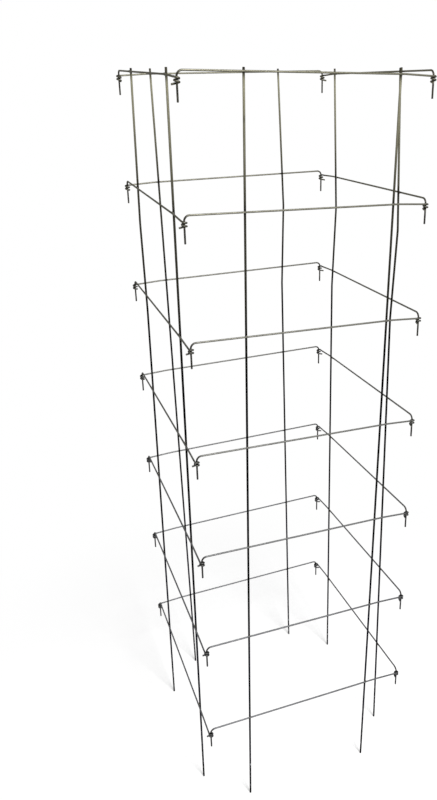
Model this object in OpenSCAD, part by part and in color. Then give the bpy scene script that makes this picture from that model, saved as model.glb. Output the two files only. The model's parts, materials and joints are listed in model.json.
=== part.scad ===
// Square folding plant cage of welded wire: four panels that hinge on one another at the corners.
// Each panel has two upright legs and a ladder of rungs. At one end a rung is bent down into a
// hinge pin, and at the other end it is wound into a coil round the pin of the next panel.
// Millimetres, +Z up, origin on the ground in the middle of the cage. Left and right on a panel
// are as seen from outside the cage, so a rung has its pin at the left and its coil at the right.

/* [Cage] */
// Distance between the hinge pins of two neighbouring corners
side_pitch = 434; // [320:1:700]

/* [Legs] */
// Diameter of the leg wire
leg_d = 4; // [3:0.1:6]
// Distance of the left leg's middle from the hinge pin of its own panel
left_leg_inset = 93; // [60:1:140]
// Distance of the right leg's middle from the hinge pin that its panel's coils hold
right_leg_inset = 72; // [60:1:120]
// Sideways lean of every leg from its foot to its top, away from its own panel's hinge pin
leg_lean = 21; // [0:1:30]
// Height of the leg tops above the top rung
leg_over_top = 4; // [3:0.5:40]
// Length of the leg stakes below the bottom rung
stake_length = 218; // [120:1:400]

/* [Rungs] */
// Diameter of the rung wire
rung_d = 3.2; // [2.6:0.1:5]
// Number of rungs on each panel
rung_count = 7; // [4:1:9]
// Height from one rung to the next
rung_pitch = 208.5; // [120:0.5:320]

/* [Hinges] */
// Bend radius of the rung where it turns down into its hinge pin
pin_bend_radius = 9; // [7:0.5:16]
// Length of the hinge pin's tip below the coil that it carries
pin_tip = 25; // [12:1:60]
// Clearance between a coil and the hinge pin inside it
coil_clearance = 0.5; // [0.3:0.05:0.9]
// Clear space between the turns of a coil
turn_gap = 2; // [1.5:0.1:5]
// Half turns in a coil, before the last quarter turn
coil_half_turns = 3; // [1:1:4]
// Length of the straight tail at the end of a coil
coil_tail = 8; // [4:0.5:14]
// Drop of a rung from the end of its long run to its coil
dip = 3; // [2:0.5:6]
// Bend radius at both ends of the dip
dip_radius = 25; // [10:1:50]
// Distance past the right leg's top where the dip begins
dip_start = 6; // [4:0.5:12]
// Length of the level lead from the end of the dip to the coil
dip_lead = 6; // [4:0.5:12]

/* [Leg bends] */
// Depth of the leg bends below the second rung
bend_drop = 71; // [40:1:90]
// Depth below the third rung where a bent leg is straight again
bend_return = 38; // [20:1:60]
// Radius of the leg bends
bend_radius = 40; // [20:1:80]
// Sideways set of the right panel's left leg, towards its hinge pin
set_right_panel_left = 15; // [0:1:24]
// Sideways set of the right panel's right leg, towards its hinge pin
set_right_panel_right = 16; // [0:1:24]
// Sideways set of the back panel's left leg, towards its hinge pin
set_back_panel_left = 7; // [0:1:24]
// Sideways set of the left panel's left leg, towards its hinge pin
set_left_panel_left = 14; // [0:1:24]

/* [Welds] */
// Diameter of the weld spot where a rung crosses a leg
weld_d = 2.4; // [1.6:0.1:2.4]
// Thickness of the weld metal between a rung and a leg
weld_gap = 0.1; // [0.05:0.05:0.3]

/* [Hidden] */
$fn = 32;
WELD_FINENESS = 128;
LEG_COLOUR = [0.40, 0.39, 0.34];
RUNG_COLOUR = [0.52, 0.51, 0.45];
WELD_COLOUR = [0.27, 0.26, 0.23];

// Panels in turn round the cage, each a quarter turn from the one before
PANELS = ["front", "right", "back", "left"];
LEG_SETS = [
    [0, 0],
    [set_right_panel_left, set_right_panel_right],
    [set_back_panel_left, 0],
    [set_left_panel_left, 0]
];

// Radius of the coil's centre line, which is also how far a rung passes outside the pin it holds
coil_radius = rung_d + coil_clearance;
// Length of a rung from its own pin to the side of the next one
rung_run = sqrt(side_pitch * side_pitch - coil_radius * coil_radius);
// A coil begins level with the end of the bend above its pin
coil_drop = pin_bend_radius;
half_turn_drop = (rung_d + turn_gap) / 2;
// Depth of the hinge pin's tip below its rung: past the bend, the coil and the end of the tip
pin_drop = coil_drop + half_turn_drop * (coil_half_turns + 0.5) + rung_d / 2 + pin_tip;
// Where two stretches of wire meet, one is thicker by this much and the other runs this far into it
joint_step = 0.05;
joint_lap = 0.15;
// Each half turn is half of a ring of this radius, tilted to fall by half a pitch
ring_radius = sqrt(coil_radius * coil_radius + half_turn_drop * half_turn_drop / 4);
ring_tilt = asin(half_turn_drop / 2 / ring_radius);

// Distance of the leg's centre line inside the rung's
leg_offset = rung_d / 2 + weld_gap + leg_d / 2;
left_leg_x = left_leg_inset;
right_leg_x = rung_run - right_leg_inset;
panel_centre = [(rung_run - coil_radius) / 2, (rung_run + coil_radius) / 2, 0];

function rung_z(level) = stake_length + (rung_count - level) * rung_pitch;
leg_length = rung_z(1) + leg_over_top;
bend_z = rung_z(2) - bend_drop;
return_z = rung_z(3) - bend_return;

// Sideways place of a leg's centre line at a height
function leg_place(x, set, z) =
    x + leg_lean * (z / leg_length - 1 / 2) - set * (
        z >= bend_z ? (leg_length - z) / (leg_length - bend_z)
        : z >= return_z ? (z - return_z) / (bend_z - return_z)
        : 0
    );

// Angle of a leg from the upright at a height
function leg_angle(set, z) =
    atan(leg_lean / leg_length + set * (
        z >= bend_z ? 1 / (leg_length - bend_z)
        : z >= return_z ? -1 / (bend_z - return_z)
        : 0
    ));
// Length of wire on which a weld spot is shaped
weld_reach = 4 * leg_d;

// Route of a rung from the tip of its pin to the start of its coil, in the panel's plane
dip_x = right_leg_x + leg_lean / 2 + dip_start;
rung_fall = coil_drop - dip;
rung_slope = atan(rung_fall / dip_x);
rung_route = [
    [0, -pin_drop],
    [0, 0],
    [dip_x, -rung_fall],
    [rung_run - dip_lead, -coil_drop],
    [rung_run + joint_lap, -coil_drop]
];
rung_radii = [0, pin_bend_radius, dip_radius, dip_radius, 0];

// Height of a rung's long run at a distance from its pin
function run_z(level, x) = rung_z(level) - rung_fall * x / dip_x;
// Where a rung crosses a leg, as its distance from the pin and its height
function crossing(x, set, level) =
    let (z = run_z(level, leg_place(x, set, rung_z(level))), place = leg_place(x, set, z))
    [place, run_z(level, place)];

function unit(v) = v / norm(v);
function heading(v) = atan2(v[1], v[0]);

// Turn at a corner of a route, positive to the left
function turn_at(route, i) =
    let (u = unit(route[i] - route[i - 1]), v = unit(route[i + 1] - route[i]))
    atan2(u[0] * v[1] - u[1] * v[0], u[0] * v[0] + u[1] * v[1]);

// Length that a corner's bend takes from the straight on each side of it
function cut_at(route, radii, i) =
    i == 0 || i == len(route) - 1 ? 0 : radii[i] * tan(abs(turn_at(route, i)) / 2);

// A wire bent in the XY plane along a route, with a round bend of the given radius at each corner.
// A bend is a hair thicker than the straights, which run a short way into it.
module bent_wire(route, radii, diameter) {
    last = len(route) - 1;
    for (i = [1:last]) {
        along = unit(route[i] - route[i - 1]);
        start = route[i - 1] + along * (cut_at(route, radii, i - 1) - (i == 1 ? 0 : joint_lap));
        end = route[i] - along * (cut_at(route, radii, i) - (i == last ? 0 : joint_lap));
        translate(start) rotate([0, 90, heading(along)]) cylinder(h = norm(end - start), d = diameter);
    }
    for (i = [1:1:last - 1]) {
        turn = turn_at(route, i);
        along = unit(route[i] - route[i - 1]);
        side = turn > 0 ? [-along[1], along[0]] : [along[1], -along[0]];
        start = route[i] - along * cut_at(route, radii, i);
        centre = start + side * radii[i];
        first = heading(-side) + min(turn, 0);
        translate(centre) rotate([0, 0, first]) rotate_extrude(angle = abs(turn))
            translate([radii[i], 0]) circle(d = diameter + joint_step);
    }
}

// Places what is drawn on the ring of one half turn of the coil, counted from the top
module on_ring(index) {
    translate([0, 0, -half_turn_drop * (index + 0.5)]) rotate([0, 0, 180 * index - 90])
        rotate([0, -ring_tilt, 0]) children();
}

// Part of a turn of the coil, from the outside of the pin, falling as it goes round.
// Every other part is a hair thicker, and its neighbours run a short way into it.
module coil_arc(index, angle) {
    thick = index % 2 == 0;
    lap = thick ? 0 : joint_lap / ring_radius * 180 / PI;
    on_ring(index) rotate([0, 0, -lap]) rotate_extrude(angle = angle + 2 * lap)
        translate([ring_radius, 0]) circle(d = rung_d + (thick ? joint_step : 0));
}

// Coil about the Z axis, with its straight tail pointing out of the cage
module coil() {
    for (index = [0:coil_half_turns - 1]) coil_arc(index, 180);
    coil_arc(coil_half_turns, 90);
    thick_tail = coil_half_turns % 2 == 1;
    lap = thick_tail ? 0 : joint_lap;
    on_ring(coil_half_turns) translate([lap, ring_radius, 0]) rotate([0, -90, 0])
        cylinder(h = coil_tail + lap, d = rung_d + (thick_tail ? joint_step : 0));
}

// One rung: hinge pin, bend, long run, dip, coil and tail, in one unbroken wire
module rung(level) {
    color(RUNG_COLOUR) translate([0, 0, rung_z(level)]) {
        rotate([90, 0, 0]) bent_wire(rung_route, rung_radii, rung_d);
        translate([rung_run, coil_radius, -coil_drop]) coil();
    }
}

// One leg, inside the rungs, straight or bent sideways between its second and third rung.
// It is cut level with the ground at its foot and square to the upright at its top.
module leg(x, set) {
    heights = set == 0
        ? [leg_length + leg_d, -leg_d]
        : [leg_length + leg_d, bend_z, return_z, -leg_d];
    route = [for (z = heights) [leg_place(x, set, z), z]];
    color(LEG_COLOUR) translate([0, leg_offset, 0]) intersection() {
        rotate([90, 0, 0]) bent_wire(route, [0, bend_radius, bend_radius, 0], leg_d);
        translate([0, -leg_d, 0]) cube([side_pitch, 2 * leg_d, leg_length]);
    }
}

// Weld spots of one leg: the metal that fills the space between the leg and each rung
module leg_welds(x, set) {
    color(WELD_COLOUR) for (level = [1:rung_count]) {
        spot = crossing(x, set, level);
        translate([spot[0], 0, spot[1]]) difference() {
            rotate([-90, 0, 0]) cylinder(h = leg_offset, d = weld_d, $fn = WELD_FINENESS);
            rotate([0, 90 + rung_slope, 0])
                cylinder(h = weld_reach, d = rung_d, center = true, $fn = WELD_FINENESS);
            translate([0, leg_offset, 0]) rotate([0, leg_angle(set, spot[1]), 0])
                cylinder(h = weld_reach, d = leg_d, center = true, $fn = WELD_FINENESS);
        }
    }
}

// Puts a panel drawn with its hinge pin on the Z axis in its place on the cage
module place(index) {
    rotate([0, 0, 90 * index]) translate(-panel_centre) children();
}

// Points along the coil and its tail, for measuring how close the wire comes to itself
COIL_STEPS = 12;
TAIL_STEPS = 8;
function ring_point(index, angle) =
    let (x = ring_radius * cos(angle), y = ring_radius * sin(angle), sign = index % 2 == 0 ? 1 : -1)
    [sign * x * cos(ring_tilt), sign * y, x * sin(ring_tilt) - half_turn_drop * (index + 0.5)];
tail_start = ring_point(coil_half_turns, 90);
tail_heading = unit(ring_point(coil_half_turns, 91) - ring_point(coil_half_turns, 89));
coil_points = concat(
    [for (index = [0:coil_half_turns - 1], step = [0:COIL_STEPS - 1])
        ring_point(index, 180 * step / COIL_STEPS)],
    [for (step = [0:COIL_STEPS / 2 - 1]) ring_point(coil_half_turns, 180 * step / COIL_STEPS)],
    [for (step = [0:TAIL_STEPS]) tail_start + tail_heading * coil_tail * step / TAIL_STEPS]
);
// Points at least half a turn apart along the wire count as neighbours in the winding
coil_gap = min([
    for (i = [0:len(coil_points) - 1 - COIL_STEPS], j = [i + COIL_STEPS:len(coil_points) - 1])
        norm(coil_points[i] - coil_points[j])
]) - rung_d;
echo(str("Least gap of a hinge coil's wire to itself: ", coil_gap, " mm"));

for (index = [0:len(PANELS) - 1]) {
    panel = str(PANELS[index], "_panel_");
    sets = LEG_SETS[index];
    place(index) leg(left_leg_x, sets[0]);
    place(index) leg(right_leg_x, sets[1]);
    for (level = [1:rung_count])
        place(index) rung(level);
    place(index) {
        leg_welds(left_leg_x, sets[0]);
        leg_welds(right_leg_x, sets[1]);
    }
}
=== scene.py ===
import json
import math

import bpy
import numpy as np
from bpy.props import FloatProperty, FloatVectorProperty, IntProperty, PointerProperty
from mathutils import Matrix, Vector


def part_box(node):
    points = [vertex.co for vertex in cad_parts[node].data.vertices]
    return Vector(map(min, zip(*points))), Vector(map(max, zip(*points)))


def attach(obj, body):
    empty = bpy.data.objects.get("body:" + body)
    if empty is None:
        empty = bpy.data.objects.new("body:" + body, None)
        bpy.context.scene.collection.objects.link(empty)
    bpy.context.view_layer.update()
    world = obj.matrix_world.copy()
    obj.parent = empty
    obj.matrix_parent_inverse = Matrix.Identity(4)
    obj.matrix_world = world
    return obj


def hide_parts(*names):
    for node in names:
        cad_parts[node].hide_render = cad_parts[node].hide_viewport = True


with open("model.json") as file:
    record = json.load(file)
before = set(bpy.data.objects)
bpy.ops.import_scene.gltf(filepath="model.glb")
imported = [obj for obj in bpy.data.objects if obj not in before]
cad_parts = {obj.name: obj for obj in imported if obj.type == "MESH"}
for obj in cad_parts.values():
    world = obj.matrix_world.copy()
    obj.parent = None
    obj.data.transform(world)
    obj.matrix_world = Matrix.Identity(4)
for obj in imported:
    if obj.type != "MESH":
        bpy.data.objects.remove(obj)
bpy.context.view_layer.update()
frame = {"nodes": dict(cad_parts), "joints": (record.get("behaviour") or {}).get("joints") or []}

bl_info = {
    "name": "Folding Wire Plant Cage",
    "version": (1, 0, 0),
    "blender": (4, 5, 0),
    "location": "View3D > Sidebar > Plant Cage",
    "description": "Draws the bent and welded wires of a folding plant cage round its packed frame",
    "category": "Add Mesh",
}

# Panels in turn round the cage, each a quarter turn from the one before, and the legs of a panel
PANELS = ("front", "right", "back", "left")
SIDES = ("left", "right")

# Sideways sets of the bent legs towards their panel's pin, in metres, by panel and side
LEG_SETS = {
    ("right", "left"): 0.015,
    ("right", "right"): 0.016,
    ("back", "left"): 0.007,
    ("left", "left"): 0.014,
}

# Rounds of reckoning that settle where a falling rung crosses a leaning leg
CROSSING_ROUNDS = 3
# Height above and below a weld between which its leg's lean is taken
LEAN_REACH = 0.001

# Points on an arc of a bent route, on half a turn of a coil and on a coil's tail
ARC_POINTS = 14
COIL_POINTS = 20
TAIL_POINTS = 4

# A cut end: its rounded length, the rings on it and how they crowd to the cut, and the share of radius
# that is lost there
END_LENGTH = 0.0009
END_RINGS = 6
END_CROWDING = 1.5
END_CROP = 0.35

# Swelling of the zinc: its waves, the range of their lengths, the range of swells round the wire
# with its end left out, and the swell as a share of the radius
LUMP_COUNT = 7
LUMP_LENGTHS = (0.018, 0.070)
LUMP_TURNS = (1, 4)
LUMP_SHARE = 0.008

# Weld flash: points round it, rings across the crevice, its depth in both wires, the bulge of its rim,
# the rim's waves as their number and share of radius, and the range of their phases
FLASH_ROUND = 28
FLASH_RINGS = 9
FLASH_SINK = 0.00012
FLASH_BULGE = 0.16
FLASH_WAVES = ((2, 0.10), (5, 0.07))
FLASH_PHASES = (0, 6.28)

# Seeds of the legs, rungs and welds, and the steps of a seed from panel to panel and side to side
LEG_SEED, RUNG_SEED, WELD_SEED = 100, 200, 300
RUNG_PANEL_STEP = 10
WELD_PANEL_STEP, WELD_SIDE_STEP = 20, 10

# Reach of the burn beside a weld on a leg and on a rung, and of the painted shade on the pins and coils round
# a hinge's axis
LEG_BURN_REACH = 0.0095
RUNG_BURN_REACH = 0.0028
PIN_COIL_SHADE_REACH = 0.0065


def grey(level):
    """A neutral colour."""
    return (level, level, level)


BLACK, WHITE = grey(0.0), grey(1.0)

# Patterns of the finishes. A fineness counts to a metre, and stops give the shade at a pattern's value.
NOISE_ROUGHNESS = 0.55
BUMP_DISTANCE = 0.0002

# Zinc: its crystals, then its die lines, which are counted round the wire and along a metre of it
CRYSTAL_FINENESS, CRYSTAL_DETAIL = 700.0, 4.0
CRYSTAL_STOPS = [(0.30, grey(0.80)), (0.52, WHITE), (0.72, (1.2, 1.2, 1.18))]
LINE_FINENESS, LINE_DETAIL = (26.0, 30.0, 1.0), 2.0
LINE_STOPS = [(0.35, grey(0.82)), (0.65, grey(1.12))]
LINE_SHARE = 0.7
ZINC_BUMP = 0.25
ZINC_METALLIC = 0.75
# Share of light that zinc mirrors where it is seen edge on, dulled by its crystals
EDGE_TINT = grey(0.25)
# Roughness that crystals and burns add, and the burn's own share before the crystals add to it
CRYSTAL_ROUGHNESS, BURN_ROUGHNESS = 0.28, 0.2
BURN_SHARE = 0.45

# Leg zinc: its colours by height, as a share of the leg's, which paint shade and reflection down the leg
# (darker below the top, near black in the middle, a bluish painted reflection on the stake, painted shade at
# the tip), and the wander of those heights
LEG_SHADE_STOPS = (
    (0.0, "leg_tip_shade"), (0.045, "leg_tip_shade"), (0.10, "leg_stake_reflection"), (0.27, "leg_stake_reflection"),
    (0.36, "leg_middle_shade"), (0.66, "leg_middle_shade"), (0.86, "leg_upper_shade"), (0.99, "leg_top"),
)
WANDER_FINENESS, WANDER_DETAIL = 9.0, 2.0
LEG_WANDER = 0.05
LEG_ROUGHNESS, LEG_GLOSS = 0.30, 0.15
# Dark stains all along, the dark cut at the top, and pale scrapes along the wire that die away up the stake
STAIN_FINENESS, STAIN_DETAIL = 22.0, 1.0
STAIN_STOPS = [(0.22, grey(0.35)), (0.32, WHITE)]
CUT_STOPS = [(0.9955, WHITE), (0.9975, (0.10, 0.09, 0.08))]
SCRAPE_FINENESS, SCRAPE_DETAIL = (420.0, 420.0, 150.0), 3.0
SCRAPE_STOPS = [(0.585, BLACK), (0.68, WHITE)]
SCRAPED_STOPS = [(0.045, WHITE), (0.115, BLACK)]

# Rung zinc: its colours by height, and the noise that mottles the painted shade on the pins and coils, with
# its own share before noise adds to it
RUNG_STOPS = ((0.35, "rung_low"), (0.98, "rung_top"))
SHADE_MOTTLE_FINENESS, SHADE_MOTTLE_DETAIL = 130.0, 2.0
SHADE_MOTTLE_SHARE = 0.35
RUNG_ROUGHNESS, RUNG_GLOSS = 0.24, 0.08

# Weld metal: its scale, and its colours by the value of that
SCALE_FINENESS, SCALE_DETAIL = 900.0, 5.0
WELD_STOPS = ((0.34, "burnt"), (0.52, "flash"), (0.74, "bright"))
WELD_METALLIC = 0.3
WELD_ROUGHNESS, SCALE_ROUGHNESS = 0.3, 0.35
WELD_BUMP = 0.5

# Stage: half the floor's width, its roughness, the radii between which it runs out to an even white, and
# the lamp's size and place
FLOOR_REACH = 30.0
FLOOR_ROUGHNESS = 0.9
LIT_RADIUS, WHITE_RADIUS = 0.3, 1.0
KEY_SIZE = 1.4
KEY_PLACE = Vector((0.5, -3.2, 3.6))

# The picture's size and the fitted camera's focal length and optical centre, all in its pixels
PICTURE_WIDTH, PICTURE_HEIGHT = 437, 800
FOCAL_PIXELS = 753.72
OPTICAL_CENTRE = (293.24, 366.38)
SENSOR_MM = 36.0
CAMERA_REACH = 200.0


def hinge_place(name):
    """Where a hinge's axis stands, from the frame's joints."""
    return next(np.array(joint["pos_m"]) for joint in frame["joints"] if joint["name"] == name)


def rung_nodes(panel):
    """Names of a panel's rungs, from the top one down."""
    names = [node for node in frame["nodes"] if node.startswith(f"{panel}_panel_rung_")]
    return sorted(names, key=lambda node: int(node.rsplit("_", 1)[1]))


FRAME_SIDE = float(np.linalg.norm(hinge_place("right_hinge") - hinge_place("left_hinge")))
FRAME_HEIGHT = float(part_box("front_panel_left_leg")[1].z)


def length(name, description, default):
    """A size in metres that a user may change."""
    return FloatProperty(name=name, description=description, default=default, min=0.0, precision=4,
                         unit="LENGTH", subtype="DISTANCE")


def amount(name, description, default, least=0.0):
    """A plain number that a user may change."""
    return FloatProperty(name=name, description=description, default=default, min=least)


def count(name, description, default, least):
    """A whole number that a user may change."""
    return IntProperty(name=name, description=description, default=default, min=least)


def angle_of(name, description, degrees):
    """An angle that a user may change."""
    return FloatProperty(name=name, description=description, default=math.radians(degrees), subtype="ANGLE")


def colour(name, description, default):
    """A colour that a user may change, as linear light."""
    return FloatVectorProperty(name=name, description=description, default=default, size=3, min=0.0, max=1.0,
                               subtype="COLOR")


class CageSizes(bpy.types.PropertyGroup):
    """Sizes of the wires and of their bends."""

    side_pitch: length("Side", "Distance between neighbouring hinge pins", FRAME_SIDE)
    height: length("Height", "Height of the leg tops above the ground", FRAME_HEIGHT)
    leg_diameter: length("Leg Wire", "Diameter of the leg wire", 0.004)
    rung_diameter: length("Rung Wire", "Diameter of the rung wire", 0.0032)
    left_inset: length("Left Leg Inset", "Distance of the left leg's middle from its panel's pin", 0.093)
    right_inset: length("Right Leg Inset", "Distance of the right leg's middle from the next pin", 0.072)
    leg_lean: length("Leg Lean", "Sideways lean of a leg from its foot to its top", 0.021)
    bend_drop: length("Leg Bend", "Depth of the leg bends below the second rung", 0.071)
    bend_return: length("Leg Return", "Depth below the third rung where a leg is straight again", 0.038)
    bend_radius: length("Leg Bend Radius", "Radius of the leg bends", 0.040)
    weld_gap: length("Weld Gap", "Thickness of the weld metal between a rung and a leg", 0.0001)
    flash_radius: length("Weld Flash", "Radius of the metal squeezed out round a weld", 0.00185)
    pin_bend: length("Pin Bend", "Bend radius from a rung into its hinge pin", 0.009)
    pin_tip: length("Pin Tip", "Length of a hinge pin below its coil", 0.025)
    coil_clearance: length("Coil Clearance", "Space between a coil and the pin inside it", 0.0005)
    turn_gap: length("Turn Gap", "Space between the turns of a coil", 0.0020)
    coil_tail: length("Coil Tail", "Length of the straight end of a coil", 0.008)
    dip: length("Dip", "Drop of a rung from its long run to its coil", 0.003)
    dip_radius: length("Dip Radius", "Bend radius at both ends of the dip", 0.025)
    dip_start: length("Dip Start", "Distance past the right leg's top where the dip begins", 0.006)
    dip_lead: length("Dip Lead", "Level lead from the dip to the coil", 0.006)
    coil_half_turns: amount("Coil Half Turns", "Half turns in a coil", 3.5, 1.0)
    wire_sides: count("Wire Sides", "Faces round a wire", 20, 8)
    wire_step: length("Wire Step", "Length of a face along a straight wire", 0.004)


class CageFinish(bpy.types.PropertyGroup):
    """Colours of the wires."""

    # Below the top, the leg colours are painted light: the upper and middle ones are painted shade, the
    # stake's is a bluish painted reflection and the tip's is painted shade
    leg_top: colour("Leg Top", "Zinc at the top of a leg", (0.32, 0.306, 0.215))
    leg_upper_shade: colour("Leg Upper", "Zinc a little way down a leg", (0.055, 0.053, 0.038))
    leg_middle_shade: colour("Leg Middle", "Dark zinc along the middle of a leg", (0.002, 0.002, 0.002))
    leg_stake_reflection: colour("Leg Stake", "Bluish zinc on the stake", (0.008, 0.008, 0.015))
    leg_tip_shade: colour("Leg Tip", "Blackened end of the stake", (0.005, 0.005, 0.005))
    scuff: colour("Scuff", "Bright zinc scraped bare on the stake", (0.60, 0.60, 0.63))
    rung_top: colour("Rung Top", "Zinc of the upper rungs", (0.175, 0.169, 0.128))
    rung_low: colour("Rung Low", "Zinc of the lower rungs", (0.138, 0.140, 0.145))
    # Painted shade on the pins and coils, dark round each hinge axis
    worked: colour("Pin Coil Shade", "Zinc crazed dark in the pins and coils", (0.024, 0.023, 0.020))
    burnt: colour("Burnt Zinc", "Zinc burnt dark beside a weld", (0.012, 0.011, 0.009))
    flash: colour("Weld Flash", "Bare metal squeezed out of a weld", (0.16, 0.15, 0.125))
    bright: colour("Weld Specks", "Bright specks in the weld metal", (0.42, 0.40, 0.34))


class StageLook(bpy.types.PropertyGroup):
    """Floor, light and camera."""

    floor_colour: colour("Floor", "Colour of the floor", (0.95, 0.95, 0.95))
    floor_glow: amount("Floor Glow", "Share of white added to the lit floor as it is seen", 0.53)
    floor_bounce: colour("Floor Bounce", "Colour of the floor as the wires are lit by it", (0.06, 0.06, 0.06))
    sky_level: amount("Sky", "Strength of the even light from all round", 0.09)
    key_power: FloatProperty(name="Key Light", description="Power of the soft lamp in front and above",
                             default=165.0, unit="POWER")
    camera_place: FloatVectorProperty(name="Camera", description="Where the camera stands", size=3,
                                      default=(-0.50442, -1.35735, 1.46406), subtype="TRANSLATION",
                                      unit="LENGTH")
    heading: angle_of("Heading", "Camera's heading, clockwise from +Y", 22.4822)
    down_angle: angle_of("Down Angle", "Camera's angle below the horizon", 21.2528)


class Cage:
    """Sizes that follow from the driving ones. In a panel's own frame x runs along its rungs from its pin, y
    points into the cage and z up."""

    def __init__(self, sizes):
        self.sizes = sizes
        self.leg_radius = sizes.leg_diameter / 2
        self.rung_radius = sizes.rung_diameter / 2
        self.coil_radius = sizes.rung_diameter + sizes.coil_clearance
        self.rung_run = math.sqrt(sizes.side_pitch ** 2 - self.coil_radius ** 2)
        self.centre = np.array([self.rung_run - self.coil_radius, self.rung_run + self.coil_radius, 0.0]) / 2
        self.coil_drop = sizes.pin_bend
        self.half_turn_drop = (sizes.rung_diameter + sizes.turn_gap) / 2
        self.pin_drop = (self.coil_drop + self.half_turn_drop * sizes.coil_half_turns
                         + self.rung_radius + sizes.pin_tip)
        self.leg_offset = self.rung_radius + sizes.weld_gap + self.leg_radius
        self.leg_x = {"left": sizes.left_inset, "right": self.rung_run - sizes.right_inset}
        self.rung_levels = [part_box(node)[1].z - self.rung_radius for node in rung_nodes("front")]
        self.bend_z = self.rung_levels[1] - sizes.bend_drop
        self.return_z = self.rung_levels[2] - sizes.bend_return
        self.dip_x = self.leg_x["right"] + sizes.leg_lean / 2 + sizes.dip_start
        self.rung_fall = self.coil_drop - sizes.dip

    def turn(self, panel, directions):
        """Turns directions from a panel's own frame to the cage's, by quarter turns about the upright."""
        quarters = PANELS.index(panel)
        cos, sin = (1, 0, -1, 0)[quarters], (0, 1, 0, -1)[quarters]
        return directions @ np.array([[cos, sin, 0], [-sin, cos, 0], [0, 0, 1]], float)

    def place(self, panel, points):
        """Carries points from a panel's own frame to the cage's: a shift to its middle, then the turn."""
        return self.turn(panel, points - self.centre)

    def leg_place(self, panel, side, z):
        """Sideways place of a leg at heights z: its lean, less its set, which grows from the top to the bend
        and dies away below it."""
        z = np.asarray(z, float)
        leg_set = LEG_SETS.get((panel, side), 0.0)
        height = self.sizes.height
        share = np.interp(z, [0.0, self.return_z, self.bend_z, height], [0.0, 0.0, 1.0, 0.0])
        return self.leg_x[side] + self.sizes.leg_lean * (z / height - 0.5) - leg_set * share

    def leg_slope(self, panel, side, z):
        """Angle at which a leg leans sideways at a height."""
        below, above = self.leg_place(panel, side, [z - LEAN_REACH, z + LEAN_REACH])
        return math.atan((above - below) / (2 * LEAN_REACH))

    def crossings(self, panel, side):
        """Where the rungs cross a leg, as rows of x and z."""
        levels = np.array(self.rung_levels)
        z = levels
        for _ in range(CROSSING_ROUNDS):
            x = self.leg_place(panel, side, z)
            z = levels - self.rung_fall * x / self.dip_x
        return np.column_stack([x, z])

    def weld_spots(self, panel, side):
        """The middles of a leg's welds, each between the rung and the leg, in the cage's frame."""
        x, z = self.crossings(panel, side).T
        return self.place(panel, np.column_stack([x, np.full(len(x), self.rung_radius), z]))


def unit(vectors):
    """A vector, or each row of an array, divided by its own length."""
    return vectors / np.linalg.norm(vectors, axis=-1, keepdims=True)


def run_lengths(points):
    """Length along a path at each of its points."""
    return np.concatenate([[0.0], np.cumsum(np.linalg.norm(np.diff(points, axis=0), axis=1))])


def straight(start, end, step):
    """Points along a straight, evenly spaced, without its last."""
    pieces = max(2, math.ceil(np.linalg.norm(end - start) / step))
    share = np.arange(pieces)[:, None] / pieces
    return start + share * (end - start)


def bent_route(corners, radii, step):
    """Points along a route in a plane, with an arc of the given radius at each inner corner. The arc leaves
    the straights at radius times the tangent of half the turn, and is swept about the centre beside the
    corner."""
    corners = [np.asarray(corner, float) for corner in corners]
    pieces = []
    start = corners[0]
    for previous, corner, following, radius in zip(corners, corners[1:], corners[2:], radii):
        before = unit(corner - previous)
        after = unit(following - corner)
        turn = math.acos(np.clip(before @ after, -1.0, 1.0))
        cut = radius * math.tan(turn / 2)
        centre = corner + unit(after - before) * radius / math.cos(turn / 2)
        arc_start = corner - before * cut
        pieces.append(straight(start, arc_start, step))
        angle = np.linspace(0.0, turn, ARC_POINTS, endpoint=False)[:, None]
        radial = (arc_start - centre) / radius
        pieces.append(centre + radius * (np.cos(angle) * radial + np.sin(angle) * before))
        start = corner + after * cut
    pieces.append(straight(start, corners[-1], step))
    pieces.append(corners[-1][None, :])
    return np.concatenate(pieces)


def end_rings(points, normals):
    """A path and its normals with a few more points close to each end, where the cut end is rounded."""
    share = (np.linspace(0.0, 1.0, END_RINGS, endpoint=False) ** END_CROWDING)[:, None]
    first = points[0] + share * END_LENGTH * unit(points[1] - points[0])
    last = points[-1] - share[::-1] * END_LENGTH * unit(points[-1] - points[-2])
    more = [np.repeat(normal[None, :], END_RINGS, axis=0) for normal in (normals[0], normals[-1])]
    return np.concatenate([first, points[1:-1], last]), np.concatenate([more[0], normals[1:-1], more[1]])


def cropped_radii(lengths, radius):
    """Radius along a wire: full, but drawn in along a quarter circle near both ends, where it was cut."""
    from_end = np.minimum(lengths, lengths[-1] - lengths)
    inside = np.clip(1.0 - from_end / END_LENGTH, 0.0, 1.0)
    return radius * (1.0 - END_CROP * (1.0 - np.sqrt(np.clip(1.0 - inside ** 2, 0.0, 1.0))))


def zinc_lumps(seed):
    """Slow swelling of the zinc along and round a wire: a sum of sine waves with seeded lengths and phases,
    as a factor on the radius."""
    rng = np.random.default_rng(seed)
    waves = rng.uniform(*LUMP_LENGTHS, LUMP_COUNT)
    phases = rng.uniform(0.0, 2 * math.pi, (2, LUMP_COUNT))
    rounds = rng.integers(*LUMP_TURNS, LUMP_COUNT)

    def lump(along, angle):
        total = np.zeros(np.broadcast(along, angle).shape)
        for wave, first, second, turns in zip(waves, phases[0], phases[1], rounds):
            total += np.sin(2 * math.pi * along / wave + first) * np.cos(turns * angle + second)
        return 1.0 + LUMP_SHARE * total / math.sqrt(LUMP_COUNT)

    return lump


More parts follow.
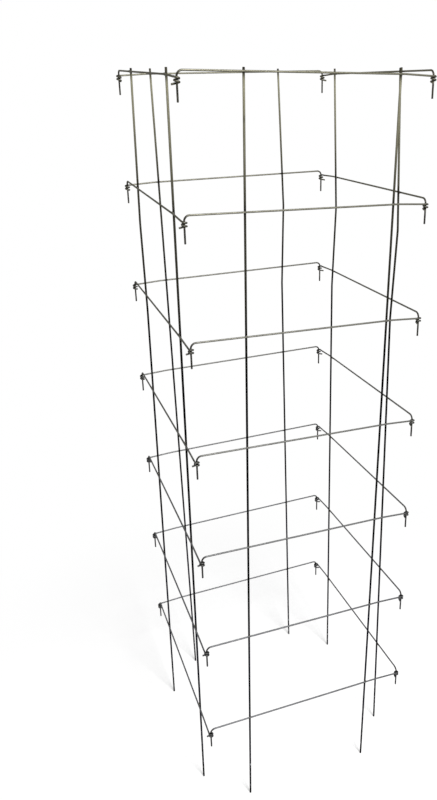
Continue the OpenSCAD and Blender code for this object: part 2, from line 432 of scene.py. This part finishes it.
def ring_faces(rings, sides):
    """Faces over rings of points that follow one another: quads from ring to ring, and at each end triangles
    to a centre point. The two centres are numbered after the rings."""
    row, column = np.meshgrid(np.arange(rings - 1), np.arange(sides), indexing="ij")
    following = (column + 1) % sides
    quads = np.stack([row * sides + column, row * sides + following,
                      (row + 1) * sides + following, (row + 1) * sides + column], axis=-1).reshape(-1, 4)
    turn = np.arange(sides)
    onward = (turn + 1) % sides
    last_ring = (rings - 1) * sides
    centre = np.full(sides, rings * sides)
    caps = np.concatenate([np.column_stack([centre, onward, turn]),
                           np.column_stack([centre + 1, last_ring + turn, last_ring + onward])])
    return quads, caps


def tube(points, normals, radius, sides, lump):
    """A round profile carried along a path. At each path point the ring is
    point + radius * (cos(angle) * normal + sin(angle) * side), with side square to the path and the normal.
    Each end closes on a centre point. Returns vertices, faces and the UV of each face corner, which is the
    share of the way round and the length along."""
    tangents = unit(np.gradient(points, axis=0))
    normals = unit(normals - np.sum(normals * tangents, axis=1, keepdims=True) * tangents)
    across = np.cross(tangents, normals)
    lengths = run_lengths(points)
    angle = np.arange(sides) / sides * 2 * math.pi
    radii = cropped_radii(lengths, radius)[:, None] * lump(lengths[:, None], angle[None, :])
    ring = np.cos(angle)[:, None] * normals[:, None, :] + np.sin(angle)[:, None] * across[:, None, :]
    rings = (points[:, None, :] + radii[:, :, None] * ring).reshape(-1, 3)
    vertices = np.concatenate([rings, points[:1], points[-1:]])
    quads, caps = ring_faces(len(points), sides)
    row, column = np.divmod(np.arange(len(quads)), sides)
    around = np.column_stack([column, column + 1, column + 1, column]) / sides
    along = lengths[np.column_stack([row, row, row + 1, row + 1])]
    cap_uv = np.zeros((len(caps), 3, 2))
    cap_uv[sides:, :, 1] = lengths[-1]
    corner_uv = np.concatenate([np.stack([around, along], axis=-1).reshape(-1, 2), cap_uv.reshape(-1, 2)])
    return vertices, quads.tolist() + caps.tolist(), corner_uv


def nearness(places, spots, reach):
    """A bell curve over each place's distance from the nearest spot: 1 on a spot, and all but gone at twice
    the reach."""
    distances = np.linalg.norm(places[:, None, :] - spots[None, :, :], axis=2)
    return np.exp(-(distances.min(axis=1) / reach) ** 2)


def add_piece(name, surface, material, body, node, marks):
    """Puts a surface's vertices, faces and UV into a mesh, with its marks as attributes, rides the piece on a
    body and lets it stand for a node."""
    vertices, faces, corner_uv = surface
    mesh = bpy.data.meshes.new(name)
    mesh.from_pydata(vertices.tolist(), [], faces)
    mesh.uv_layers.new(name="along_wire").data.foreach_set("uv", corner_uv.astype(np.float32).ravel())
    for key, values in marks.items():
        mesh.attributes.new(key, "FLOAT", "POINT").data.foreach_set("value", values.astype(np.float32))
    mesh.polygons.foreach_set("use_smooth", np.ones(len(mesh.polygons), bool))
    mesh.materials.append(material)
    mesh.update()
    piece = bpy.data.objects.new(name, mesh)
    bpy.context.scene.collection.objects.link(piece)
    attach(piece, body)
    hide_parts(node)


class Nodes:
    """A node tree, emptied, with short ways to add and feed nodes."""

    def __init__(self, tree):
        self.tree = tree
        tree.nodes.clear()

    def add(self, kind, values=None, **settings):
        """A new node with its settings, and with values on its sockets."""
        node = self.tree.nodes.new(kind)
        for key, setting in settings.items():
            setattr(node, key, setting)
        for key, value in (values or {}).items():
            self.feed(node.inputs[key], value)
        return node

    def feed(self, socket, value):
        """Puts a colour, another node's output or a plain value on a socket."""
        if isinstance(value, bpy.types.NodeSocket):
            self.tree.links.new(value, socket)
        elif socket.type == "RGBA":
            socket.default_value = (*value, 1.0)
        else:
            socket.default_value = value

    def number(self, operation, first, second):
        """Arithmetic on two values, each a number or a socket."""
        return self.add("ShaderNodeMath", {0: first, 1: second}, operation=operation).outputs[0]

    def mix(self, share, first, second, blend_type="MIX"):
        """A mix of two colours, each a colour or a socket."""
        node = self.add("ShaderNodeMix", data_type="RGBA", blend_type=blend_type)
        for key, value in (("Factor", share), ("A", first), ("B", second)):
            self.feed(next(socket for socket in node.inputs if socket.name == key and socket.enabled), value)
        return next(socket for socket in node.outputs if socket.enabled)

    def ramp(self, source, stops):
        """A colour ramp over a value, from stops that each have a place and a colour."""
        node = self.add("ShaderNodeValToRGB", {0: source})
        elements = node.color_ramp.elements
        while len(elements) < len(stops):
            elements.new(1.0)
        for element, (place, tone) in zip(elements, stops):
            element.position = place
            element.color = (*tone, 1.0)
        return node.outputs["Color"]

    def stretched(self, vector, scale):
        """Coordinates scaled by a different factor along each axis."""
        return self.add("ShaderNodeMapping", {"Vector": vector, "Scale": scale}).outputs["Vector"]

    def noise(self, vector, fineness, detail):
        """Cloudy noise from 0 to 1."""
        values = {"Vector": vector, "Scale": fineness, "Detail": detail, "Roughness": NOISE_ROUGHNESS}
        return self.add("ShaderNodeTexNoise", values).outputs["Fac"]

    def in_sight(self):
        """1 for what the camera sees, straight or in metal or glass, and 0 for what only lights a surface."""
        path = self.add("ShaderNodeLightPath")
        mirrored = self.number("MAXIMUM", path.outputs["Is Glossy Ray"], path.outputs["Is Transmission Ray"])
        return self.number("MAXIMUM", path.outputs["Is Camera Ray"], mirrored)


class MaterialNodes(Nodes):
    """A new material's node tree, with its output, its shader and the piece's coordinates."""

    def __init__(self, name):
        self.material = bpy.data.materials.new(name)
        self.material.use_nodes = True
        super().__init__(self.material.node_tree)
        self.shader = self.add("ShaderNodeBsdfPrincipled")
        self.output = self.add("ShaderNodeOutputMaterial", {"Surface": self.shader.outputs["BSDF"]})
        coordinates = self.add("ShaderNodeTexCoord")
        self.place = coordinates.outputs["Object"]
        self.along_wire = coordinates.outputs["UV"]

    def shade(self, values):
        """Puts values on the shader's sockets, by their names."""
        for key, value in values.items():
            self.feed(self.shader.inputs[key], value)

    def bump(self, height, strength):
        """The shader's normal, bent by a height."""
        values = {"Strength": strength, "Distance": BUMP_DISTANCE, "Height": height}
        return self.add("ShaderNodeBump", values).outputs["Normal"]

    def level(self, height):
        """Height of a place on the piece, as a share of the cage's."""
        split = self.add("ShaderNodeSeparateXYZ", {0: self.place})
        return self.number("DIVIDE", split.outputs["Z"], height)


def colour_stops(finish, stops):
    """Stops of a ramp whose colours are named in the cage's finish."""
    return [(place, tuple(getattr(finish, key))) for place, key in stops]


def zinc_wire(name, tint, burnt, roughness, gloss):
    """Galvanised drawn wire. Over a tint that the caller makes lie the zinc's crystals, long die lines on the
    wire's own UV map, and burnt marks where its weld_burn is high. Bump follows the lines and crystals."""
    zinc = MaterialNodes(name)
    crystals = zinc.noise(zinc.place, CRYSTAL_FINENESS, CRYSTAL_DETAIL)
    tone = zinc.mix(1.0, tint(zinc), zinc.ramp(crystals, CRYSTAL_STOPS), "MULTIPLY")
    lines = zinc.noise(zinc.stretched(zinc.along_wire, LINE_FINENESS), 1.0, LINE_DETAIL)
    tone = zinc.mix(LINE_SHARE, tone, zinc.ramp(lines, LINE_STOPS), "MULTIPLY")
    burn = zinc.add("ShaderNodeAttribute", attribute_name="weld_burn").outputs["Fac"]
    burn = zinc.number("MULTIPLY", burn, zinc.number("ADD", crystals, BURN_SHARE))
    rough = zinc.number("ADD", zinc.number("MULTIPLY", crystals, CRYSTAL_ROUGHNESS), roughness)
    rough = zinc.number("ADD", rough, zinc.number("MULTIPLY", burn, BURN_ROUGHNESS))
    zinc.shade({
        "Base Color": zinc.mix(burn, tone, tuple(burnt)),
        "Metallic": ZINC_METALLIC,
        "Roughness": rough,
        "Specular IOR Level": gloss,
        "Specular Tint": EDGE_TINT,
        "Normal": zinc.bump(zinc.number("ADD", lines, crystals), ZINC_BUMP),
    })
    return zinc.material


def leg_zinc(finish, height):
    """Leg wire: khaki zinc at the top, then painted shade and reflection down the leg: near black in the
    middle, bluer on the stake, dark at the tip, and dark at the cut top.
    """
    def tint(zinc):
        level = zinc.level(height)
        wander = zinc.noise(zinc.place, WANDER_FINENESS, WANDER_DETAIL)
        share = zinc.number("ADD", level, zinc.number("MULTIPLY", wander, LEG_WANDER))
        share = zinc.number("ADD", share, -LEG_WANDER / 2)
        # The ramp by height is painted shade and reflection: darker below the top, near black in the middle
        # and bluish on the stake
        tone = zinc.ramp(share, colour_stops(finish, LEG_SHADE_STOPS))
        stains = zinc.ramp(zinc.noise(zinc.place, STAIN_FINENESS, STAIN_DETAIL), STAIN_STOPS)
        tone = zinc.mix(1.0, tone, stains, "MULTIPLY")
        tone = zinc.mix(1.0, tone, zinc.ramp(level, CUT_STOPS), "MULTIPLY")
        scrapes = zinc.noise(zinc.stretched(zinc.place, SCRAPE_FINENESS), 1.0, SCRAPE_DETAIL)
        scrapes = zinc.mix(1.0, zinc.ramp(scrapes, SCRAPE_STOPS), zinc.ramp(share, SCRAPED_STOPS), "MULTIPLY")
        return zinc.mix(scrapes, tone, tuple(finish.scuff))

    return zinc_wire("leg_zinc", tint, finish.burnt, LEG_ROUGHNESS, LEG_GLOSS)


def rung_zinc(finish, height):
    """Rung wire: paler zinc, khaki on the upper rungs and neutral on the lower ones, with painted shade,
    mottled by noise, on the pins and coils where its attribute round the hinge axes is high."""
    def tint(zinc):
        tone = zinc.ramp(zinc.level(height), colour_stops(finish, RUNG_STOPS))
        # Painted shade on the pins and coils, from the attribute that is high round each hinge axis, mottled
        # by noise
        worked = zinc.add("ShaderNodeAttribute", attribute_name="worked").outputs["Fac"]
        shade_mottle = zinc.number("ADD", zinc.noise(zinc.place, SHADE_MOTTLE_FINENESS, SHADE_MOTTLE_DETAIL), SHADE_MOTTLE_SHARE)
        return zinc.mix(zinc.number("MULTIPLY", worked, shade_mottle), tone, tuple(finish.worked))

    return zinc_wire("rung_zinc", tint, finish.burnt, RUNG_ROUGHNESS, RUNG_GLOSS)


def weld_metal(finish):
    """Weld flash: dull grey metal with a mottle of dark scale and bright specks, rough all over."""
    metal = MaterialNodes("weld_metal")
    scale = metal.noise(metal.place, SCALE_FINENESS, SCALE_DETAIL)
    rough = metal.number("ADD", metal.number("MULTIPLY", scale, SCALE_ROUGHNESS), WELD_ROUGHNESS)
    metal.shade({
        "Base Color": metal.ramp(scale, colour_stops(finish, WELD_STOPS)),
        "Metallic": WELD_METALLIC,
        "Roughness": rough,
        "Normal": metal.bump(scale, WELD_BUMP),
    })
    return metal.material


def floor_paper(look):
    """White paper that runs out to an even white away from the cage. It looks white, but lights the wires as
    a darker floor would."""
    paper = MaterialNodes("floor_paper")
    paper.shade({
        "Base Color": tuple(look.floor_colour),
        "Roughness": FLOOR_ROUGHNESS,
        "Specular IOR Level": 0.0,
    })
    distance = paper.add("ShaderNodeVectorMath", {0: paper.place}, operation="LENGTH").outputs["Value"]
    radii = {"Value": distance, "From Min": LIT_RADIUS, "From Max": WHITE_RADIUS}
    away = paper.add("ShaderNodeMapRange", radii, interpolation_type="SMOOTHSTEP").outputs["Result"]
    white = paper.add("ShaderNodeEmission").outputs[0]
    glow = paper.add("ShaderNodeEmission", {"Strength": look.floor_glow}).outputs[0]
    lit = paper.add("ShaderNodeAddShader", {0: paper.shader.outputs["BSDF"], 1: glow}).outputs[0]
    shown = paper.add("ShaderNodeMixShader", {0: away, 1: lit, 2: white}).outputs[0]
    bounce = paper.add("ShaderNodeBsdfDiffuse", {"Color": tuple(look.floor_bounce)}).outputs[0]
    final = paper.add("ShaderNodeMixShader", {0: paper.in_sight(), 1: bounce, 2: shown}).outputs[0]
    paper.feed(paper.output.inputs["Surface"], final)
    return paper.material


def leg_path(cage, panel, side):
    """A leg's centre line in its panel's frame: a straight or twice bent route just inside the rungs."""
    sizes = cage.sizes
    bends = [cage.return_z, cage.bend_z] if (panel, side) in LEG_SETS else []
    heights = [0.0, *bends, sizes.height]
    corners = [(float(cage.leg_place(panel, side, z)), cage.leg_offset, z) for z in heights]
    route = bent_route(corners, [sizes.bend_radius] * len(bends), sizes.wire_step)
    return end_rings(route, np.tile([0.0, 1.0, 0.0], (len(route), 1)))


def rung_path(cage, level):
    """A rung's centre line in its panel's frame: up its pin, round the bend, down the long run and the dip,
    then a helix about the next pin, falling evenly as it turns, and a straight tail. Normals face inwards,
    or on the coil its pin."""
    sizes = cage.sizes
    corners = [(0.0, 0.0, -cage.pin_drop), (0.0, 0.0, 0.0), (cage.dip_x, 0.0, -cage.rung_fall),
               (cage.rung_run - sizes.dip_lead, 0.0, -cage.coil_drop), (cage.rung_run, 0.0, -cage.coil_drop)]
    route = bent_route(corners, [sizes.pin_bend, sizes.dip_radius, sizes.dip_radius], sizes.wire_step)
    coil_points = int(COIL_POINTS * sizes.coil_half_turns)
    turn = np.linspace(0.0, math.pi * sizes.coil_half_turns, coil_points + 1)[1:]
    angle = turn - math.pi / 2
    coil = np.column_stack([cage.rung_run + cage.coil_radius * np.cos(angle),
                            cage.coil_radius + cage.coil_radius * np.sin(angle),
                            -cage.coil_drop - cage.half_turn_drop * turn / math.pi])
    facing = np.column_stack([-np.cos(angle), -np.sin(angle), np.zeros(len(angle))])
    heading = unit(coil[-1] - coil[-2])
    tail = coil[-1] + heading * sizes.coil_tail * np.linspace(0.0, 1.0, TAIL_POINTS + 1)[1:, None]
    points = np.concatenate([route, coil, tail]) + [0.0, 0.0, level]
    inwards = np.tile([0.0, 1.0, 0.0], (len(route), 1))
    return end_rings(points, np.concatenate([inwards, facing, np.tile(facing[-1], (len(tail), 1))]))


def flash_surface(cage, spot, slope, lean, seed):
    """Metal squeezed out round one weld. Round the crossing, at radius r and angle a, it fills the crevice
    from the rung's surface to the leg's. Its rim bulges as 1 - t squared for t from -1 to 1 across the
    crevice, and r wavers with seeded waves."""
    rng = np.random.default_rng(seed)
    angle = np.arange(FLASH_ROUND) / FLASH_ROUND * 2 * math.pi
    waver = np.ones(FLASH_ROUND)
    for waves, share in FLASH_WAVES:
        waver += share * np.sin(waves * angle + rng.uniform(*FLASH_PHASES))
    across = np.linspace(-1.0, 1.0, FLASH_RINGS)[:, None]
    reach = cage.sizes.flash_radius * waver * (1.0 + FLASH_BULGE * (1.0 - across ** 2))
    x, z = reach * np.cos(angle), reach * np.sin(angle)
    from_rung = z + np.tan(slope) * x
    from_leg = x - np.tan(lean) * z
    rung_depth = np.sqrt(np.clip(cage.rung_radius ** 2 - from_rung ** 2, 0.0, None))
    leg_depth = np.sqrt(np.clip(cage.leg_radius ** 2 - from_leg ** 2, 0.0, None))
    rung_face = rung_depth - FLASH_SINK
    leg_face = cage.leg_offset - leg_depth + FLASH_SINK
    y = (rung_face + leg_face) / 2 + across * (leg_face - rung_face) / 2
    rim = np.stack([x, y, z], axis=-1).reshape(-1, 3)
    centres = np.array([[0.0, cage.rung_radius - FLASH_SINK, 0.0],
                        [0.0, cage.leg_offset - cage.leg_radius + FLASH_SINK, 0.0]])
    vertices = np.concatenate([rim, centres]) + [spot[0], 0.0, spot[1]]
    quads, caps = ring_faces(FLASH_RINGS, FLASH_ROUND)
    # The angle turns the other way round this surface, so its faces are turned over
    return vertices, quads[:, [0, 3, 2, 1]], caps[:, [0, 2, 1]]


class CAGE_OT_add_legs(bpy.types.Operator):
    """Draw the eight legs, straight or bent, with their burnt weld marks"""

    bl_idname = "plant_cage.add_legs"
    bl_label = "Add Legs"

    def execute(self, context):
        cage = Cage(context.scene.cage_sizes)
        material = leg_zinc(context.scene.cage_finish, cage.sizes.height)
        for number, (panel, side) in enumerate((panel, side) for panel in PANELS for side in SIDES):
            points, normals = leg_path(cage, panel, side)
            wire = tube(cage.place(panel, points), cage.turn(panel, normals), cage.leg_radius,
                        cage.sizes.wire_sides, zinc_lumps(LEG_SEED + number))
            marks = {"weld_burn": nearness(wire[0], cage.weld_spots(panel, side), LEG_BURN_REACH)}
            add_piece(f"{panel}_{side}_leg_wire", wire, material, f"{panel}_panel",
                      f"{panel}_panel_{side}_leg", marks)
        return {"FINISHED"}


class CAGE_OT_add_rungs(bpy.types.Operator):
    """Draw every rung with its pin, bend, dip, coil and tail in one wire"""

    bl_idname = "plant_cage.add_rungs"
    bl_label = "Add Rungs"

    def execute(self, context):
        cage = Cage(context.scene.cage_sizes)
        material = rung_zinc(context.scene.cage_finish, cage.sizes.height)
        hinges = np.array([[0.0, 0.0, 0.0], [cage.rung_run, cage.coil_radius, 0.0]])
        for panel in PANELS:
            welds = np.stack([cage.weld_spots(panel, side) for side in SIDES], axis=1)
            pins = cage.place(panel, hinges)
            first_seed = RUNG_SEED + RUNG_PANEL_STEP * PANELS.index(panel)
            for number, node in enumerate(rung_nodes(panel)):
                points, normals = rung_path(cage, cage.rung_levels[number])
                wire = tube(cage.place(panel, points), cage.turn(panel, normals), cage.rung_radius,
                            cage.sizes.wire_sides, zinc_lumps(first_seed + number))
                # Marks: the weld burn, and painted shade on the pins and coils round each hinge axis
                marks = {"weld_burn": nearness(wire[0], welds[number], RUNG_BURN_REACH),
                         "worked": nearness(wire[0][:, :2], pins[:, :2], PIN_COIL_SHADE_REACH)}
                add_piece(f"{panel}_rung_{number + 1}_wire", wire, material, f"{panel}_panel",
                          node, marks)
        return {"FINISHED"}


class CAGE_OT_add_welds(bpy.types.Operator):
    """Draw the flash round every weld, one piece for each panel"""

    bl_idname = "plant_cage.add_welds"
    bl_label = "Add Welds"

    def execute(self, context):
        cage = Cage(context.scene.cage_sizes)
        material = weld_metal(context.scene.cage_finish)
        for panel in PANELS:
            add_piece(f"{panel}_weld_flash", self.panel_flash(cage, panel), material, f"{panel}_panel",
                      f"{panel}_panel_welds", {})
        return {"FINISHED"}

    def panel_flash(self, cage, panel):
        """The flash of all a panel's welds as one surface, with an empty UV map."""
        slope = math.atan(cage.rung_fall / cage.dip_x)
        vertices, faces = [], []
        start = 0
        for side_number, side in enumerate(SIDES):
            first_seed = WELD_SEED + WELD_PANEL_STEP * PANELS.index(panel) + WELD_SIDE_STEP * side_number
            for number, spot in enumerate(cage.crossings(panel, side)):
                lean = cage.leg_slope(panel, side, spot[1])
                points, quads, caps = flash_surface(cage, spot, slope, lean, first_seed + number)
                vertices.append(cage.place(panel, points))
                faces += (quads + start).tolist() + (caps + start).tolist()
                start += len(points)
        corners = sum(len(face) for face in faces)
        return np.concatenate(vertices), faces, np.zeros((corners, 2))


class CAGE_OT_set_stage(bpy.types.Operator):
    """Lay the floor, light it softly and set the camera"""

    bl_idname = "plant_cage.set_stage"
    bl_label = "Set Stage"

    def execute(self, context):
        look = context.scene.stage_look
        context.scene.view_settings.view_transform = "Standard"
        self.lay_floor(context, look)
        self.light_sky(context, look)
        self.add_lamp(context, look)
        self.set_camera(context, look)
        return {"FINISHED"}

    def lay_floor(self, context, look):
        """A wide flat floor, pale all over."""
        ends = (-FLOOR_REACH, FLOOR_REACH)
        mesh = bpy.data.meshes.new("floor")
        mesh.from_pydata([(x, y, 0.0) for y in ends for x in ends], [], [(0, 1, 3, 2)])
        mesh.materials.append(floor_paper(look))
        floor = bpy.data.objects.new("floor", mesh)
        context.scene.collection.objects.link(floor)

    def light_sky(self, context, look):
        """A white surround that is seen at full strength, in the bright wires too, and lights more softly."""
        world = bpy.data.worlds.new("surround")
        context.scene.world = world
        world.use_nodes = True
        sky = Nodes(world.node_tree)
        levels = {"Value": sky.in_sight(), "To Min": look.sky_level, "To Max": 1.0}
        level = sky.add("ShaderNodeMapRange", levels).outputs["Result"]
        background = sky.add("ShaderNodeBackground", {"Color": WHITE, "Strength": level})
        sky.add("ShaderNodeOutputWorld", {"Surface": background.outputs[0]})

    def add_lamp(self, context, look):
        """A large square lamp that faces the middle of the cage."""
        lamp = bpy.data.lights.new("key_light", "AREA")
        lamp.energy = look.key_power
        lamp.size = KEY_SIZE
        aim = Vector((0.0, 0.0, context.scene.cage_sizes.height / 2)) - KEY_PLACE
        self.stand(context, "key_light", lamp, KEY_PLACE, aim)

    def set_camera(self, context, look):
        """A camera whose focal length and shift follow from pixels of the picture's frame."""
        camera = bpy.data.cameras.new("camera")
        camera.sensor_width = SENSOR_MM
        camera.lens = SENSOR_MM * FOCAL_PIXELS / PICTURE_HEIGHT
        camera.shift_x = (PICTURE_WIDTH / 2 - OPTICAL_CENTRE[0]) / PICTURE_HEIGHT
        camera.shift_y = (OPTICAL_CENTRE[1] - PICTURE_HEIGHT / 2) / PICTURE_HEIGHT
        camera.clip_end = CAMERA_REACH
        level = math.cos(look.down_angle)
        aim = Vector((math.sin(look.heading) * level, math.cos(look.heading) * level,
                      -math.sin(look.down_angle)))
        context.scene.camera = self.stand(context, "camera", camera, Vector(look.camera_place), aim)

    def stand(self, context, name, device, place, aim):
        """Stands a lamp or a camera at a place, upright, and aims it."""
        holder = bpy.data.objects.new(name, device)
        holder.matrix_world = Matrix.Translation(place) @ aim.to_track_quat("-Z", "Y").to_matrix().to_4x4()
        context.scene.collection.objects.link(holder)
        return holder


class CAGE_PT_sidebar(bpy.types.Panel):
    """Sizes, colours and makers of the plant cage"""

    bl_label = "Plant Cage"
    bl_idname = "CAGE_PT_sidebar"
    bl_space_type = "VIEW_3D"
    bl_region_type = "UI"
    bl_category = "Plant Cage"

    def draw(self, context):
        for maker in MAKERS:
            self.layout.operator(maker.bl_idname)
        for group in (context.scene.cage_sizes, context.scene.cage_finish, context.scene.stage_look):
            box = self.layout.box()
            for key in group.bl_rna.properties.keys():
                if key not in ("rna_type", "name"):
                    box.prop(group, key)


MAKERS = (CAGE_OT_add_legs, CAGE_OT_add_rungs, CAGE_OT_add_welds, CAGE_OT_set_stage)
CLASSES = (CageSizes, CageFinish, StageLook, *MAKERS, CAGE_PT_sidebar)


def register():
    for item in CLASSES:
        bpy.utils.register_class(item)
    bpy.types.Scene.cage_sizes = PointerProperty(type=CageSizes)
    bpy.types.Scene.cage_finish = PointerProperty(type=CageFinish)
    bpy.types.Scene.stage_look = PointerProperty(type=StageLook)


def unregister():
    del bpy.types.Scene.stage_look
    del bpy.types.Scene.cage_finish
    del bpy.types.Scene.cage_sizes
    for item in reversed(CLASSES):
        bpy.utils.unregister_class(item)


def main():
    register()
    bpy.ops.plant_cage.add_legs()
    bpy.ops.plant_cage.add_rungs()
    bpy.ops.plant_cage.add_welds()
    bpy.ops.plant_cage.set_stage()


if __name__ == "__main__":
    main()
